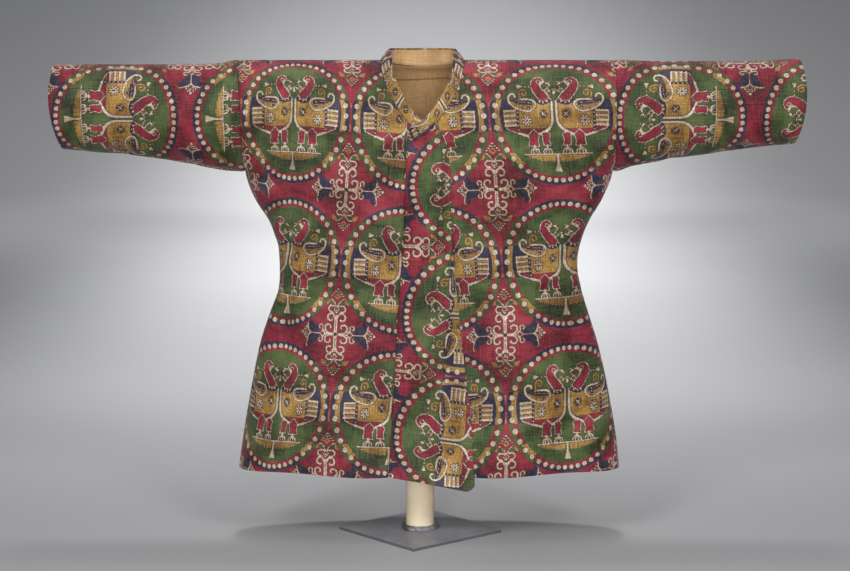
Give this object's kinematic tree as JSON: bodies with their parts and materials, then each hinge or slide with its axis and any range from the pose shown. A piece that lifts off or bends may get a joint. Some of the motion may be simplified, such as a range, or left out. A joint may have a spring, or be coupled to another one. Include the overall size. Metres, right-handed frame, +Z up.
{
  "type": "child coat on a display stand",
  "caption": "Child's open-fronted silk coat with long sleeves and a lapped front strip, filled out on a post stand with a square base plate.",
  "frame": {"origin": "on the floor, under the middle of the coat's sleeve span", "axes": "+Z up, the coat's front towards -Y, the wearer's right sleeve towards -X"},
  "size_m": [0.8201, 0.1834, 0.5449],
  "materials": {
    "patterned_silk": "woven silk twill with a low sheen",
    "lining_silk": "plain silk damask with a low sheen",
    "cream_paint": "satin cream paint",
    "grey_paint": "semi-matt dark grey paint",
    "weld": "painted weld metal"
  },
  "bodies": {
    "root": {"front_wearers_right": "patterned_silk", "front_wearers_left": "patterned_silk", "front_strip": "patterned_silk", "back": "patterned_silk", "back_lining": "lining_silk", "collar": "patterned_silk", "sleeve_wearers_right": "patterned_silk", "sleeve_wearers_left": "patterned_silk", "base_plate": "grey_paint", "post": "cream_paint", "weld_bead": "weld", "shoulder_bar": "cream_paint"}
  },
  "joints": []
}
